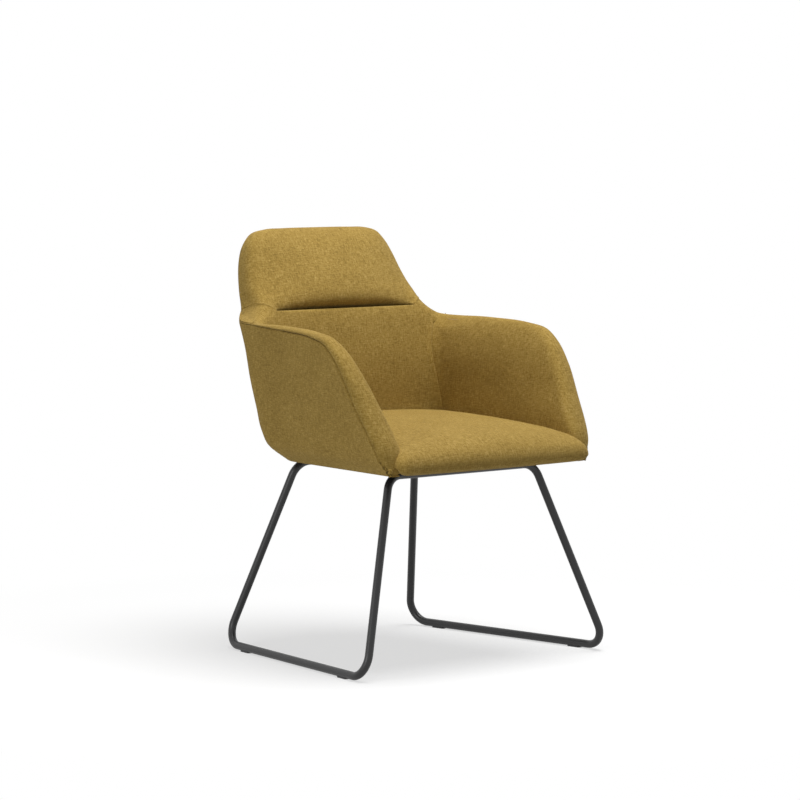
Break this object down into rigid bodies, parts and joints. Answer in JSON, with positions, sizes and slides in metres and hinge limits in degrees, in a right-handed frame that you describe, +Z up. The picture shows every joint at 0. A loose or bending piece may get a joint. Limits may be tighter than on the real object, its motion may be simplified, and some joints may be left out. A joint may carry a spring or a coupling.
{
  "type": "sled base visitor chair",
  "caption": "Upholstered tub visitor chair with wrapped arms, a two-part padded back and a round tube sled base.",
  "frame": {"origin": "on the floor under the middle of the chair's bounding box", "axes": "+Z up, -Y to the front where the sitter faces, +X to the sitter's left"},
  "size_m": [0.6392, 0.6095, 0.855],
  "materials": {
    "frame_black": "satin black powder coat",
    "steel": "zinc plated",
    "glide": "matte black nylon",
    "plywood": "raw plywood",
    "cover": "thin non-woven cover",
    "fabric": "mustard melange woven wool"
  },
  "bodies": {
    "root": {"sled_tube_right": "frame_black", "sled_tube_left": "frame_black", "front_splice_sleeve": "steel", "rear_splice_sleeve": "steel", "mount_plate_front_right": "frame_black", "mount_plate_front_left": "frame_black", "mount_plate_rear_right": "frame_black", "mount_plate_rear_left": "frame_black", "glide_front_right": "glide", "glide_front_left": "glide", "glide_rear_right": "glide", "glide_rear_left": "glide", "base_screws": "steel", "base_washers": "steel", "tee_nuts": "steel", "seat_board": "plywood", "underside_cover": "cover", "seat_cushion": "fabric", "shell_core": "plywood", "shell_screws": "steel", "outer_panel_right": "fabric", "outer_panel_left": "fabric", "outer_panel_back": "fabric", "inner_arm_right": "fabric", "inner_arm_left": "fabric", "back_pad_lower": "fabric", "back_pad_upper": "fabric"}
  },
  "joints": []
}
